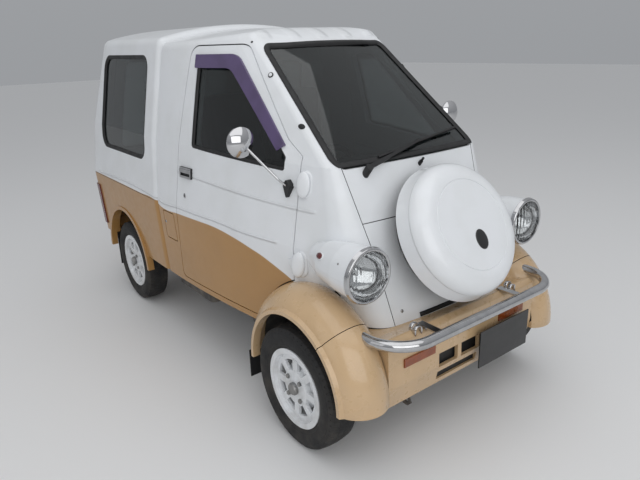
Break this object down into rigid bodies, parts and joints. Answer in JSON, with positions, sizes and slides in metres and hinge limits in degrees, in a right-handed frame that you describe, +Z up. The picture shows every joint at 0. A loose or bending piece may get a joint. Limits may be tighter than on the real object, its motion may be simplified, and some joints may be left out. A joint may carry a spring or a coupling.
{
  "type": "kei truck",
  "caption": "Small one-box kei truck with a closed cargo body, round headlamps, separate front wings and a spare wheel cover on the nose.",
  "frame": {"origin": "on the ground under the middle of the vehicle's bounding box", "axes": "-Y to the front, -X to the vehicle's right, where the driver sits, +Z up"},
  "size_m": [1.338, 2.79, 1.6499],
  "materials": {
    "body_white": "gloss",
    "body_tan": "gloss",
    "wheel_white": "gloss",
    "chrome": "polished",
    "glass": "clear",
    "lamp_glass": "clear",
    "tyre": "matte",
    "black_rubber": "matte",
    "chassis_black": "satin",
    "cast_metal": "rough",
    "bare_steel": "satin",
    "cab_plastic": "matte",
    "seat_cloth": "matte",
    "amber_lens": "gloss",
    "red_lens": "gloss",
    "plate_paint": "satin",
    "visor_purple": "gloss"
  },
  "bodies": {
    "body": {"cab_shell": "body_white", "front_corners": "body_white", "cowl_panel": "body_white", "service_lid": "body_white", "cab_glass": "glass", "cargo_canopy": "body_white", "cargo_glass": "glass", "cargo_tub": "body_tan", "front_wings": "body_tan", "front_bumper": "body_tan", "indicators": "amber_lens", "number_plate": "plate_paint", "bumper_bar": "chrome", "spare_wheel_cover": "body_white", "headlamp_pods": "body_white", "headlamp_chrome": "chrome", "headlamp_lenses": "lamp_glass", "front_suspension": "chassis_black", "steering_rack": "chassis_black", "chassis_frame": "chassis_black", "engine_block": "cast_metal", "fuel_tank": "chassis_black", "floor_pan": "chassis_black", "exhaust": "bare_steel", "rear_axle": "chassis_black", "leaf_springs": "chassis_black", "dashboard": "cab_plastic", "seats": "seat_cloth", "steering_column": "cab_plastic", "wiper": "black_rubber", "tail_lamps": "red_lens", "rear_bumper": "body_tan", "mudflaps": "black_rubber", "hinge_covers": "body_white", "spare_wheel": "tyre"},
    "door_right_body": {"door_right": "body_white", "door_glass_right": "glass", "mirror_right": "chrome", "door_handle_right": "chrome", "door_visor_right": "visor_purple"},
    "door_left_body": {"door_left": "body_white", "door_glass_left": "glass", "mirror_left": "chrome", "door_handle_left": "chrome", "door_visor_left": "visor_purple"},
    "fuel_lid_body": {"fuel_lid": "body_tan"},
    "hatch_body": {"hatch": "body_white", "hatch_glass": "glass"},
    "tailgate_body": {"tailgate": "body_tan"},
    "steering_wheel_body": {"steering_wheel": "cab_plastic"},
    "knuckle_left_body": {"knuckle_left": "cast_metal"},
    "knuckle_right_body": {"knuckle_right": "cast_metal"},
    "front_wheel_left": {"front_rim_left": "wheel_white", "front_tyre_left": "tyre"},
    "front_wheel_right": {"front_rim_right": "wheel_white", "front_tyre_right": "tyre"},
    "rear_wheel_left": {"rear_rim_left": "wheel_white", "rear_tyre_left": "tyre"},
    "rear_wheel_right": {"rear_rim_right": "wheel_white", "rear_tyre_right": "tyre"}
  },
  "joints": [
    {"name": "door_right_hinge", "type": "hinge", "parent": "body", "child": "door_right_body", "pos_m": [-0.512, -0.8, 0.712], "axis": [0.1353, 0, 0.9908], "range_deg": [0, 65]},
    {"name": "door_left_hinge", "type": "hinge", "parent": "body", "child": "door_left_body", "pos_m": [0.512, -0.8, 0.712], "axis": [0.1353, 0, -0.9908], "range_deg": [0, 65]},
    {"name": "fuel_lid_hinge", "type": "hinge", "parent": "body", "child": "fuel_lid_body", "pos_m": [-0.607, 0.112, 0.666], "axis": [-0.0549, 0, 0.9985], "range_deg": [0, 80]},
    {"name": "hatch_hinge", "type": "hinge", "parent": "body", "child": "hatch_body", "pos_m": [0, 1.205, 1.548], "axis": [1, 0, 0], "range_deg": [0, 80]},
    {"name": "tailgate_hinge", "type": "hinge", "parent": "body", "child": "tailgate_body", "pos_m": [0, 1.368, 0.44], "axis": [-1, 0, 0], "range_deg": [0, 90]},
    {"name": "steer_left", "type": "hinge", "parent": "body", "child": "knuckle_left_body", "pos_m": [0.56, -0.948, 0.254], "axis": [0, 0, 1], "range_deg": [-32, 32]},
    {"name": "steer_right", "type": "hinge", "parent": "body", "child": "knuckle_right_body", "pos_m": [-0.56, -0.948, 0.254], "axis": [0, 0, 1], "range_deg": [-32, 32]},
    {"name": "steering_wheel_turn", "type": "hinge", "parent": "body", "child": "steering_wheel_body", "pos_m": [-0.205, -0.56, 0.985], "axis": [0, 0.766, 0.6428], "range_deg": [-480, 480]},
    {"name": "front_wheel_left_spin", "type": "hinge", "parent": "knuckle_left_body", "child": "front_wheel_left", "pos_m": [0.579, -0.948, 0.254], "axis": [1, 0, 0], "continuous": true},
    {"name": "front_wheel_right_spin", "type": "hinge", "parent": "knuckle_right_body", "child": "front_wheel_right", "pos_m": [-0.579, -0.948, 0.254], "axis": [1, 0, 0], "continuous": true},
    {"name": "rear_wheel_left_spin", "type": "hinge", "parent": "body", "child": "rear_wheel_left", "pos_m": [0.533, 0.892, 0.254], "axis": [1, 0, 0], "continuous": true},
    {"name": "rear_wheel_right_spin", "type": "hinge", "parent": "body", "child": "rear_wheel_right", "pos_m": [-0.533, 0.892, 0.254], "axis": [1, 0, 0], "continuous": true}
  ],
  "couplings": [
    {"joint": "steer_right", "follows": "steer_left", "ratio": 1},
    {"joint": "steering_wheel_turn", "follows": "steer_left", "ratio": 15}
  ]
}
